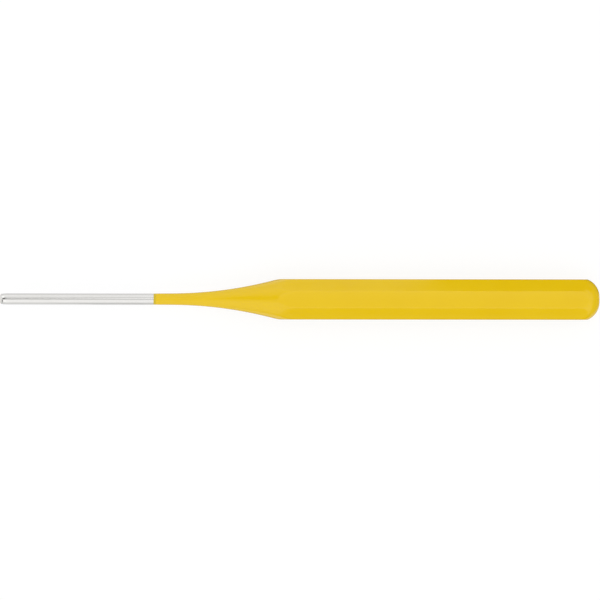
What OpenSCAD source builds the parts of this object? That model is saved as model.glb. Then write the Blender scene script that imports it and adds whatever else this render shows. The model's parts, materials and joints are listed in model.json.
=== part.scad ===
// Pin punch for driving out small pins, lying on one flat of its shank.
// One bar of octagonal tool steel is turned at its front to a long slim pin, which
// sweeps out through a hollow flare into the eight flats, and at its rear to a domed
// head. A thin baked coat covers it from the neck behind the bare pin to the head.
// The origin is under the middle of the punch, and the tip points towards -X.

/* [Bar] */
// Width of the octagonal bar from flat to opposite flat
bar_w = 10; // [8:0.5:14]
// How far the bar's eight corners are rounded back towards its centre line
corner_cut = 0.05; // [0.02:0.01:0.2]
// Length of the steel from the tip to the top of the head
steel_l = 150; // [130:1:200]

/* [Pin] */
// Diameter of the ground pin
pin_d = 2.75; // [1.8:0.05:4]
// Length of bare pin in front of the coat
bare_l = 38.4; // [25:0.1:50]
// Chamfer round the flat end of the tip
tip_chamfer = 0.42; // [0.1:0.02:0.6]

/* [Flare] */
// Length of straight coated neck between the bare pin and the flare
neck_l = 4.2; // [1:0.1:10]
// Length of the flare from the neck to the full corners of the bar
flare_l = 31.6; // [25:0.1:45]
// Radius of the rounded shoulder where the flare runs out into the corners
shoulder_r = 25; // [15:1:50]

/* [Head] */
// Diameter of the flat crown in the middle of the domed head
crown_d = 1.2; // [0.6:0.1:4]

/* [Coat] */
// Thickness of the baked coat
coat_t = 0.06; // [0.04:0.01:0.2]
// Thickness at its front edge, from which the coat thickens along the neck
edge_t = 0.03; // [0.02:0.005:0.04]

/* [Hidden] */
$fn = 144;
steel_colour = [0.78, 0.78, 0.77];
coat_colour = [0.89, 0.73, 0.05];

// Number of flats on the bar, and half of the turn from one to the next
flats = 8;
half_turn = 180 / flats;

// Radii of the pin, of the turned corners of the bar and of the crown
pin_r = pin_d / 2;
corner_r = bar_w / 2 / cos(half_turn) - corner_cut;
crown_r = crown_d / 2;

// The flare is a hollow arc and a shoulder arc with one tangent where they meet.
// Between them they rise from the pin to the corners over the length of the flare.
flare_rise = corner_r - pin_r;
arcs_r = (pow(flare_l, 2) + pow(flare_rise, 2)) / (2 * flare_rise);
hollow_r = arcs_r - shoulder_r;
slope = asin(flare_l / arcs_r);

// The dome is one arc from the corners of the bar to the edge of the crown
dome_r = corner_r - crown_r;

// Places along the punch, counted from the tip
flare_start = bare_l + neck_l;
flare_end = flare_start + flare_l;
dome_start = steel_l - dome_r;

// Outer size with the coat on, which sets the frame
whole_l = steel_l + coat_t;
axis_h = bar_w / 2 + coat_t;

// Number of straight steps that follow each arc of the outline
hollow_steps = 20;
shoulder_steps = 12;
dome_steps = 14;

// How far the flats reach past both ends of the punch
overrun = 1;

// Front ends of the outlines: across from the centre line, and up from the tip
steel_front = [[0, 0], [pin_r - tip_chamfer, 0], [pin_r, tip_chamfer]];
coat_front = [[0, bare_l], [pin_r + edge_t, bare_l]];

// Points along an arc after its first one, from one angle to another
function arc(centre, r, from, to, steps) = [
    for (i = [1:steps])
        let (a = from + (to - from) * i / steps)
            centre + r * [cos(a), sin(a)]
];

// Half outline of the whole punch behind its front end, grown outwards by g, which
// tightens the hollow arc and swells the shoulder and the dome
function half_outline(front, g) = concat(
    front,
    [[pin_r + g, flare_start]],
    arc([pin_r + hollow_r, flare_start], hollow_r - g, 180, 180 - slope, hollow_steps),
    arc([corner_r - shoulder_r, flare_end], shoulder_r + g, -slope, 0, shoulder_steps),
    [[corner_r + g, dome_start]],
    arc([crown_r, dome_start], dome_r + g, 0, 90, dome_steps),
    [[0, steel_l + g]]
);

// Eight flats, two of them level, that reach past both ends
module flats_form(g) {
    translate([0, 0, -overrun]) rotate([0, 0, half_turn])
        cylinder(r = (bar_w / 2 + g) / cos(half_turn), h = whole_l + 2 * overrun, $fn = flats);
}

// The turned form cut down to the eight flats, which run out in arches on the flare
// and on the dome. It stands on its tip.
module standing_form(front, g) {
    intersection() {
        rotate_extrude() polygon(half_outline(front, g));
        flats_form(g);
    }
}

// Lays a standing form along X on one flat, with its middle over the origin
module lay_down() {
    translate([-whole_l / 2, 0, axis_h]) rotate([0, 90, 0]) children();
}

// The steel: pin, flare, octagonal shank and domed head in one forging
module punch_blank() {
    color(steel_colour) lay_down() standing_form(steel_front, 0);
}

// The baked coat: a skin on the neck, flare, shank and head, thinner at its front edge
module coating() {
    color(coat_colour) lay_down() difference() {
        standing_form(coat_front, coat_t);
        standing_form(steel_front, 0);
    }
}

punch_blank();
coating();
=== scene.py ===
import json
import math

import bpy
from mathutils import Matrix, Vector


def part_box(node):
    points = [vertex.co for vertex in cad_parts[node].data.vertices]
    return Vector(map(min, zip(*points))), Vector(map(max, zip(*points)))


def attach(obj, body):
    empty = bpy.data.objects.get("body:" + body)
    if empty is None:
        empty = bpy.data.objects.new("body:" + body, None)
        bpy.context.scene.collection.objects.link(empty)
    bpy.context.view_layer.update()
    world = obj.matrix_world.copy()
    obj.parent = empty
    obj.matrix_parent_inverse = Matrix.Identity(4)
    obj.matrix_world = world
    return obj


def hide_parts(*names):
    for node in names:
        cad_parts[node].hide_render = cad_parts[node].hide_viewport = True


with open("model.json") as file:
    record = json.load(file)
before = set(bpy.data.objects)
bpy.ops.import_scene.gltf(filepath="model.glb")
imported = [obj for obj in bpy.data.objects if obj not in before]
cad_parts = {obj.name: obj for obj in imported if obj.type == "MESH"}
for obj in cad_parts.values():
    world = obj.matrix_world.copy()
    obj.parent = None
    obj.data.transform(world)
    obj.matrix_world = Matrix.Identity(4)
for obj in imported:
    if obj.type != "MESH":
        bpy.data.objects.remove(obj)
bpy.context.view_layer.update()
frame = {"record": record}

# The steel punch
# One bar of octagonal chrome vanadium steel, turned to a long pin at the front and to a
# dome at the head, hardened, and ground bright round the pin. The coat hides the rest,
# so the eye meets only the pin, its small chamfer and its flat tip.
MM = 0.001
steel_low, steel_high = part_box("punch_blank")
coat_low, coat_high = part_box("coating")
pin_mount = next(m for m in frame["record"]["mounts"] if m["name"] == "drive_pin")

# The flats lie in by far less than shows, so that rounded numbers leave both pieces inside the solids' box
hair = 0.0001 * MM
half_w = (steel_high.z - steel_low.z) / 2 - hair

# Places along the bar are counted from the tip, and radii from its centre line
tip_x = steel_low.x
axis_z = (steel_low.z + steel_high.z) / 2
steel_l = steel_high.x - steel_low.x
bare_l = coat_low.x - tip_x
coat_t = coat_high.x - steel_high.x
pin_r = pin_mount["dims"]["r_mm"] * MM
tip_chamfer = 0.42 * MM
flare_start = tip_chamfer + pin_mount["dims"]["length_mm"] * MM
flare_l = 31.6 * MM
shoulder_r = 25 * MM
corner_cut = 0.05 * MM
crown_r = 0.6 * MM

# The edges between the flats are softened over a reach, and each flat falls off from its middle to its edges
edge_soft = 0.12 * MM
flat_crown = 0.04 * MM

# The flare is a hollow arc and a shoulder arc with one tangent, and the dome is one arc
flats = 8
half_turn = math.pi / flats
corner_r = half_w / math.cos(half_turn) - corner_cut
dome_r = corner_r - crown_r
dome_start = steel_l - dome_r
flare_end = flare_start + flare_l
flare_rise = corner_r - pin_r
arcs_r = (flare_l**2 + flare_rise**2) / (2 * flare_rise)
hollow_r = arcs_r - shoulder_r
slope = math.asin(flare_l / arcs_r)

# Steps along the stretches of an outline, and the share of them that a surface under the coat takes
hollow_steps = 50
shoulder_steps = 90
shank_steps = 70
dome_steps = 70
crown_steps = 3
hidden_share = 0.4


def stretch(start, end, steps):
    """Points on a straight stretch of the outline after its first one, as (place along, radius)."""
    return [(start[0] + (end[0] - start[0]) * i / steps, start[1] + (end[1] - start[1]) * i / steps)
            for i in range(1, steps + 1)]


def bend(centre, radius, start, end, steps):
    """Points on an arc of the outline after its first one, with angles counted from straight outwards."""
    angles = [start + (end - start) * i / steps for i in range(1, steps + 1)]
    return [(centre[0] + radius * math.sin(a), centre[1] + radius * math.cos(a)) for a in angles]


def flare_to_crown(grow, share=1.0):
    """The outline from the foot of the flare to the middle of the crown, grown outwards."""
    foot = (flare_start, pin_r + grow)
    shank_start = (flare_end, corner_r + grow)
    shank_end = (dome_start, corner_r + grow)
    crown_edge = (steel_l + grow, crown_r)
    crown_middle = (steel_l + grow, 0)
    hollow_centre = (flare_start, pin_r + hollow_r)
    shoulder_centre = (flare_end, corner_r - shoulder_r)
    dome_centre = (dome_start, crown_r)
    return [
        foot,
        *bend(hollow_centre, grow - hollow_r, 0, -slope, int(hollow_steps * share)),
        *bend(shoulder_centre, shoulder_r + grow, -slope, 0, int(shoulder_steps * share)),
        *stretch(shank_start, shank_end, int(shank_steps * share)),
        *bend(dome_centre, dome_r + grow, 0, math.pi / 2, int(dome_steps * share)),
        *stretch(crown_edge, crown_middle, crown_steps),
    ]


def on_flats(outline, flat_reach):
    """The outline's points, each with the reach of the flats that cut the turned form there."""
    return [(along, turned_r, flat_reach) for along, turned_r in outline]


def around(steps_per_flat):
    """Angles round the bar, counted from the upper flat and closer together at the corners."""
    shares = [2 * i / steps_per_flat - 1 for i in range(steps_per_flat)]
    return [flat * 2 * half_turn + half_turn * math.sin(share * math.pi / 2)
            for flat in range(flats) for share in shares]


def bar_radius(turned_r, flat_reach, angle):
    """Radius at an angle: the turned one or the slightly crowned flat, with a soft edge between."""
    from_middle = (angle + half_turn) % (2 * half_turn) - half_turn
    crowned = flat_reach - flat_crown * (from_middle / half_turn)**2
    flat_r = crowned / math.cos(from_middle)
    nearness = max(edge_soft - abs(turned_r - flat_r), 0) / edge_soft
    return min(turned_r, flat_r) - nearness**2 * edge_soft / 4


def lathe_mesh(name, outline, angles, shift_at=lambda along, angle: 0):
    """A closed mesh from an outline that starts and ends on the centre line, cut to the eight flats."""
    points = [(tip_x + outline[0][0], 0, axis_z)]
    for along, turned_r, flat_reach in outline[1:-1]:
        for angle in angles:
            x = tip_x + along + shift_at(along, angle)
            r = bar_radius(turned_r, flat_reach, angle)
            points.append((x, r * math.sin(angle), axis_z + r * math.cos(angle)))
    points.append((tip_x + outline[-1][0], 0, axis_z))
    n, last = len(angles), len(points) - 1
    faces = [(0, 1 + i, 1 + (i + 1) % n) for i in range(n)]
    for ring in range(len(outline) - 3):
        low = 1 + ring * n
        faces += [(low + i, low + n + i, low + n + (i + 1) % n, low + (i + 1) % n) for i in range(n)]
    faces += [(last, last - n + (i + 1) % n, last - n + i) for i in range(n)]
    mesh = bpy.data.meshes.new(name)
    mesh.from_pydata(points, [], faces)
    mesh.validate()
    mesh.shade_smooth()
    piece = bpy.data.objects.new(name, mesh)
    bpy.context.scene.collection.objects.link(piece)
    return piece


def rounded(corner, before, after, reach_before, reach_after, steps):
    """Points that round a corner of the outline, between two places at a reach from it on either side."""
    ends = []
    for other, reach in ((before, reach_before), (after, reach_after)):
        length = math.dist(corner, other)
        ends.append([c + (o - c) * reach / length for c, o in zip(corner, other)])
    points = []
    for i in range(steps + 1):
        t = i / steps
        points.append(tuple((1 - t)**2 * a + 2 * t * (1 - t) * c + t**2 * b
                            for a, c, b in zip(ends[0], corner, ends[1])))
    return points


# The tip is a flat face inside a chamfer. The edge of the face is worn round, and so is the edge between
# chamfer and pin, which has one reach along the chamfer and another along the pin.
face_round = 0.05 * MM
chamfer_reach = 0.3 * MM
pin_reach = 1.4 * MM
face_steps = 4
face_edge_steps = 5
pin_edge_steps = 24
pin_steps = 60
steel_steps_per_flat = 16
face_middle = (0, 0)
face_edge = (0, pin_r - tip_chamfer)
pin_edge = (tip_chamfer, pin_r)
pin_end = (flare_start, pin_r)
tip_outline = [
    face_middle,
    *stretch(face_middle, (0, face_edge[1] - face_round), face_steps)[:-1],
    *rounded(face_edge, face_middle, pin_edge, face_round, face_round, face_edge_steps),
    *rounded(pin_edge, face_edge, pin_end, chamfer_reach, pin_reach, pin_edge_steps),
]
pin_outline = stretch(tip_outline[-1], pin_end, pin_steps)[:-1]
steel_outline = on_flats(tip_outline + pin_outline + flare_to_crown(0, hidden_share), half_w)
steel = lathe_mesh("ground_steel_punch", steel_outline, around(steel_steps_per_flat))
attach(steel, "root")
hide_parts("punch_blank")


def colour(hex_value):
    """An sRGB hex colour as linear red, green, blue and alpha."""
    parts = [int(hex_value[i:i + 2], 16) / 255 for i in (0, 2, 4)]
    return [c / 12.92 if c <= 0.04045 else ((c + 0.055) / 1.055) ** 2.4 for c in parts] + [1.0]


def material(name):
    """A new material, with its node tree and its main shader."""
    made = bpy.data.materials.new(name)
    made.use_nodes = True
    return made, made.node_tree, made.node_tree.nodes["Principled BSDF"]


def add(tree, kind, links=None, **settings):
    """Adds one node, with its settings, and sets or links its inputs."""
    made = tree.nodes.new(kind)
    for key, value in settings.items():
        setattr(made, key, value)
    for socket, value in (links or {}).items():
        if isinstance(value, bpy.types.NodeSocket):
            tree.links.new(value, made.inputs[socket])
        else:
            made.inputs[socket].default_value = value
    return made


# Chrome vanadium steel, hardened and cylindrically ground. It is bright and neutral grey, duller
# at its outline, and the wheel leaves fine rings round the pin, which draw reflections out along
# it. The real marks are 0.05 mm apart, too fine to show, so they are drawn 0.3 mm apart.
ring_gap = 0.3 * MM
ring_reach = 6 * MM
ring_depth = 0.002 * MM
cloud_size = 5 * MM
steel_mat, tree, shader = material("ground_chrome_vanadium_steel")
place = add(tree, "ShaderNodeTexCoord").outputs["Object"]
rings_at = add(tree, "ShaderNodeMapping",
               {"Vector": place, "Scale": (1 / ring_gap, 1 / ring_reach, 1 / ring_reach)})
rings = add(tree, "ShaderNodeTexNoise", {"Vector": rings_at.outputs["Vector"], "Scale": 1.0, "Detail": 3.0})
clouds = add(tree, "ShaderNodeTexNoise", {"Vector": place, "Scale": 1 / cloud_size, "Detail": 2.0})
tone = add(tree, "ShaderNodeMix",
           {"Factor": clouds.outputs["Fac"], "A": colour("D3D2CF"), "B": colour("D8D7D5")}, data_type="RGBA")
sheen = add(tree, "ShaderNodeMapRange", {"Value": rings.outputs["Fac"], "To Min": 0.14, "To Max": 0.22})
relief = add(tree, "ShaderNodeBump",
             {"Height": rings.outputs["Fac"], "Strength": 0.25, "Distance": ring_depth})
grain = add(tree, "ShaderNodeTangent", direction_type="RADIAL", axis="X")
tree.links.new(tone.outputs["Result"], shader.inputs["Base Color"])
tree.links.new(sheen.outputs["Result"], shader.inputs["Roughness"])
tree.links.new(relief.outputs["Normal"], shader.inputs["Normal"])
tree.links.new(grain.outputs["Tangent"], shader.inputs["Tangent"])
shader.inputs["Metallic"].default_value = 1.0
shader.inputs["Specular Tint"].default_value = colour("DADADA")
shader.inputs["Anisotropic"].default_value = 0.5
steel.data.materials.append(steel_mat)

# The baked coat
# A film of yellow lacquer, sprayed on the blank behind a masked pin and baked. It is a thin
# shell that follows the neck, flare, flats and dome, and its front edge is a small round lip
# that wavers a little where the mask ended.
edge_t = 0.03 * MM
lip_l = 0.08 * MM
lip_steps = 6
neck_steps = 12
hidden_neck_steps = 4
coat_steps_per_flat = 24

# The waver is a sum of waves round the neck, each with its height, its number of turns and its start
waver = 0.05 * MM
waver_reach = 1.5 * MM
waves = [(1, 2, 0.5), (0.5, 5, 2), (0.3, 9, 0)]
wave_top = sum(height for height, turns, start in waves)


def lip_waver(along, angle):
    """How far the masked edge stands back from its foremost point at an angle, fading along the neck."""
    fade = max(0, 1 - (along - bare_l) / waver_reach)
    wave = sum(height * math.sin(turns * angle + start) for height, turns, start in waves)
    return waver * fade * (wave + wave_top) / (2 * wave_top)


lip_angles = [math.pi / 2 * i / lip_steps for i in range(1, lip_steps + 1)]
lip = [(bare_l + lip_l * (1 - math.cos(a)), pin_r + edge_t * math.sin(a)) for a in lip_angles]
lip_foot = (bare_l, pin_r)
neck_end = (flare_start, pin_r + coat_t)
outside = lip + stretch(lip[-1], neck_end, neck_steps)[:-1] + flare_to_crown(coat_t)
inside = [lip_foot, *stretch(lip_foot, pin_end, hidden_neck_steps)[:-1], *flare_to_crown(0, hidden_share)]
coat_outline = on_flats(inside[::-1], half_w) + on_flats(outside, half_w + coat_t)
coat = lathe_mesh("baked_yellow_coat", coat_outline, around(coat_steps_per_flat), lip_waver)
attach(coat, "root")
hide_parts("coating")

# Alkyd lacquer, sprayed and baked. It is a warm opaque yellow with a clear gloss, and the film
# keeps the soft dimples of the spray, about 1.2 mm apart, over long shallow swells. Its front
# edge is drawn darker and olive for half a millimetre.
dimple_gap = 1.2 * MM
dimple_depth = 0.006 * MM
swell_gap = 9 * MM
swell_depth = 0.03 * MM
olive_band_start = coat_low.x + 0.4 * MM
olive_band_end = coat_low.x + 0.85 * MM
coat_mat, tree, shader = material("baked_alkyd_lacquer")
place = add(tree, "ShaderNodeTexCoord").outputs["Object"]
dimples = add(tree, "ShaderNodeTexNoise", {"Vector": place, "Scale": 1 / dimple_gap, "Detail": 1.0})
swells = add(tree, "ShaderNodeTexNoise", {"Vector": place, "Scale": 1 / swell_gap, "Detail": 2.0})
tone = add(tree, "ShaderNodeMix",
           {"Factor": swells.outputs["Fac"], "A": colour("DCB601"), "B": colour("E0BC02")}, data_type="RGBA")
parts = add(tree, "ShaderNodeSeparateXYZ", {"Vector": place})
olive_band_fade = add(tree, "ShaderNodeMapRange",
            {"Value": parts.outputs["X"], "From Min": olive_band_start, "From Max": olive_band_end},
            interpolation_type="SMOOTHSTEP")
film = add(tree, "ShaderNodeMix",
           {"Factor": olive_band_fade.outputs["Result"], "A": colour("C6AC12"), "B": tone.outputs["Result"]},
           data_type="RGBA")
gloss = add(tree, "ShaderNodeMapRange", {"Value": swells.outputs["Fac"], "To Min": 0.14, "To Max": 0.2})
long_relief = add(tree, "ShaderNodeBump",
                  {"Height": swells.outputs["Fac"], "Strength": 0.5, "Distance": swell_depth})
relief = add(tree, "ShaderNodeBump",
             {"Height": dimples.outputs["Fac"], "Strength": 0.4, "Distance": dimple_depth,
              "Normal": long_relief.outputs["Normal"]})
tree.links.new(film.outputs["Result"], shader.inputs["Base Color"])
tree.links.new(gloss.outputs["Result"], shader.inputs["Roughness"])
tree.links.new(relief.outputs["Normal"], shader.inputs["Normal"])
shader.inputs["IOR"].default_value = 1.42
coat.data.materials.append(coat_mat)

# The table
# A plain white sheet that the punch lies on. The camera and reflections see it mostly as a
# white of its own, with a light shadow, and as a duller sheet it lights the punch from below.
table_w = 6.0
own_white_share = 0.85
table_mesh = bpy.data.meshes.new("white_table")
corners = [(x * table_w / 2, y * table_w / 2, 0) for x, y in ((-1, -1), (1, -1), (1, 1), (-1, 1))]
table_mesh.from_pydata(corners, [], [(0, 1, 2, 3)])
table = bpy.data.objects.new("white_table", table_mesh)
bpy.context.scene.collection.objects.link(table)


def make_matt(shader):
    """Makes a surface dull all over, as paper and card are."""
    shader.inputs["Roughness"].default_value = 0.9
    shader.inputs["Specular IOR Level"].default_value = 0.0


# Uncoated white paper, which is matt and has no gloss
table_mat, tree, shader = material("white_paper")
make_matt(shader)
path = add(tree, "ShaderNodeLightPath")
seen = add(tree, "ShaderNodeMath", {0: path.outputs["Is Camera Ray"], 1: path.outputs["Is Glossy Ray"]},
           operation="ADD")
seen_too = add(tree, "ShaderNodeMath", {0: seen.outputs["Value"], 1: path.outputs["Is Transmission Ray"]},
               operation="ADD")
paper = add(tree, "ShaderNodeMix",
            {"Factor": seen_too.outputs["Value"], "A": colour("E8E8E8"), "B": colour("FFFFFF")},
            data_type="RGBA")
share = add(tree, "ShaderNodeMath", {0: seen_too.outputs["Value"], 1: own_white_share}, operation="MULTIPLY")
white = add(tree, "ShaderNodeEmission", {"Color": colour("FFFFFF"), "Strength": 1.0})
both = add(tree, "ShaderNodeMixShader",
           {0: share.outputs["Value"], 1: shader.outputs["BSDF"], 2: white.outputs["Emission"]})
tree.links.new(paper.outputs["Result"], shader.inputs["Base Color"])
tree.links.new(both.outputs["Shader"], tree.nodes["Material Output"].inputs["Surface"])
table_mesh.materials.append(table_mat)

# The studio
# A white tent with long soft boxes beside the punch. Brightness goes by the angle across the
# punch, from the table on its far side over the top to the table on its near side. Matt cards,
# which only reflections show, give the facets, the outline and the tip their separate tones.

# Angles in degrees from overhead, counted towards the near side, with the brightness of the tent there
tent = [(-90, 0.93), (-80, 1.24), (-48, 1.22), (-42, 0.89), (-27, 0.88), (-21, 1.34), (-7, 1.34), (-1, 0.84),
        (15, 0.83), (21, 1.31), (72, 1.26), (90, 0.93)]
brightest = max(level for degrees, level in tent)
world = bpy.data.worlds.new("studio_tent")
world.use_nodes = True
bpy.context.scene.world = world
tree = world.node_tree
background = tree.nodes["Background"]
direction = add(tree, "ShaderNodeTexCoord").outputs["Generated"]
parts = add(tree, "ShaderNodeSeparateXYZ", {"Vector": direction})
near_side = add(tree, "ShaderNodeMath", {0: parts.outputs["Y"], 1: -1.0}, operation="MULTIPLY")
angle = add(tree, "ShaderNodeMath", {0: near_side.outputs["Value"], 1: parts.outputs["Z"]},
            operation="ARCTAN2")
share = add(tree, "ShaderNodeMapRange",
            {"Value": angle.outputs["Value"], "From Min": -math.pi, "From Max": math.pi})
ramp = add(tree, "ShaderNodeValToRGB", {"Fac": share.outputs["Result"]})
stops = ramp.color_ramp.elements
for degrees, level in tent:
    stops.new((degrees / 180 + 1) / 2).color = (level / brightest,) * 3 + (1,)
stops[0].color = stops[1].color
stops[-1].color = stops[-2].color
path = add(tree, "ShaderNodeLightPath")
white = add(tree, "ShaderNodeBackground", {"Color": colour("FFFFFF"), "Strength": 1.0})
both = add(tree, "ShaderNodeMixShader",
           {0: path.outputs["Is Camera Ray"], 1: background.outputs["Background"],
            2: white.outputs["Background"]})
tree.links.new(ramp.outputs["Color"], background.inputs["Color"])
tree.links.new(both.outputs["Shader"], tree.nodes["World Output"].inputs["Surface"])
background.inputs["Strength"].default_value = brightest


def card(name, hex_value, points, glow=0.0):
    """A matt card on a chain of edges, given as pairs of points in mm, which only reflections show."""
    mesh = bpy.data.meshes.new(name)
    faces = [(i, i + 1, i + 3, i + 2) for i in range(0, len(points) - 2, 2)]
    mesh.from_pydata([tuple(c * MM for c in point) for point in points], [], faces)
    made = bpy.data.objects.new(name, mesh)
    bpy.context.scene.collection.objects.link(made)
    card_mat, tree, shader = material(name)
    make_matt(shader)
    shader.inputs["Base Color"].default_value = colour(hex_value)
    shader.inputs["Emission Color"].default_value = colour("FFFFFF")
    shader.inputs["Emission Strength"].default_value = glow
    mesh.materials.append(card_mat)
    made.visible_camera = False
    made.visible_diffuse = False
    made.visible_shadow = False
    return made


def swept(start, end, *profile):
    """Points of a card whose profile, as (across, up), runs along the punch from start to end."""
    return [(x, y, z) for y, z in profile for x in (start, end)]


def level_card(height, *spans):
    """Points of a level card from its spans across the punch, each as (along, from, to)."""
    return [(x, y, height) for x, start, end in spans for y in (start, end)]


# Heights above the table, in mm, of the cards that lie on it. Where two cards cross, these differ.
low = 0.3
middle = 0.5
high = 0.6

# Beside the shank: a dark and a pale card on the far side, a grey one with a wall behind it on the near
# side, and a grey one beyond the head
dark_far = card("dark_far_card", "080808", swept(34, 420, (14, middle), (200, middle), (200, 110)))
grey_far = card("grey_far_card", "E0E0E0", swept(-10, 34, (20, middle), (200, middle), (200, 45)))
near_card = card("near_card", "B0B0B0", swept(-24, 110, (-20, middle), (-200, middle)))
near_wall = card("near_wall_card", "606060", swept(-8, 110, (-200, middle), (-200, 50)))
head_card = card("head_card", "707070", [(x, y, z) for x, z in ((80, high), (160, high), (160, 20))
                                         for y in (-60, 60)])

# Flat under the coat: grey cards that are a painted shadow, the table's contact shadow put into reflections,
# which darken the punch's outline, darker or paler round the head
painted_shadow = card("painted_shadow_card", "B0B0B0", swept(-36, 72, (-10, low), (10, low)))
head_painted_shadow_far = card("head_painted_shadow_far_card", "404040", swept(72, 86, (2, low), (18, low)))
head_painted_shadow_near = card("head_painted_shadow_near_card", "C8C8C8", swept(72, 86, (2, low), (-18, low)))

# Flat on the near side: a dark card that draws a thin line inside the shank's edge, and a pale one that
# does so on the pin
near_edge = card("near_edge_card", "202020", level_card(
    high, (-14, -36, -34), (-2, -60, -11), (80, -60, -11)))
pin_near = card("pin_near_card", "E2E2E2", level_card(
    low, (-64, -22, -20), (-50, -60, 0), (-36, -60, 0)))

# Beyond the tip: a dark card and two small lights, which show only in the worn round behind the chamfer
tip_dark = card("tip_dark_card", "747474", [
    (-104, -37, 98), (-130, -37, 98), (-101, -91, 46), (-122, -91, 46), (-95, -91, 8), (-110, -91, 8)])
tip_near = card("tip_near_light", "000000", [
    (-80, -37, 98), (-102, -37, 98), (-80, -91, 46), (-99, -91, 46)], 1.5)
tip_far = card("tip_far_light", "000000", swept(-88, -106, (37, 84), (80, 45)), 1.7)

# Overhead: a strip that draws the dark line on the pin, the dot at its tip and the wedge in the flare
strip = card("overhead_strip", "080808", level_card(
    305, (-64, 36, 62), (-100, 34, 70), (-112, 6, 140), (-150, -26, 150), (-186, -24, 125)))

# The camera
# It looks straight down on the upper flat through a long lens, with the tip to the left. The
# punch nearly fills the square picture, a little above its middle and turned a hair.
picture_px = 600

# The picture's columns at the tip and at the end of the head, and its row along the axis
tip_px = 0.15
head_px = 599.5
axis_px = 299.27
tilt = 0.00124
camera_h = 1.6
px_per_m = (head_px - tip_px) / (coat_high.x - tip_x)
camera_data = bpy.data.cameras.new("camera")
camera_data.sensor_width = 36
camera_data.lens = camera_data.sensor_width * camera_h / (picture_px / px_per_m)
camera_data.clip_end = 20
camera = bpy.data.objects.new("camera", camera_data)
camera.location = (tip_x + (picture_px / 2 - tip_px) / px_per_m, -(picture_px / 2 - axis_px) / px_per_m,
                   axis_z + camera_h)
camera.rotation_euler = (0, 0, tilt)
bpy.context.scene.collection.objects.link(camera)
bpy.context.scene.camera = camera
bpy.context.scene.view_settings.view_transform = "Standard"
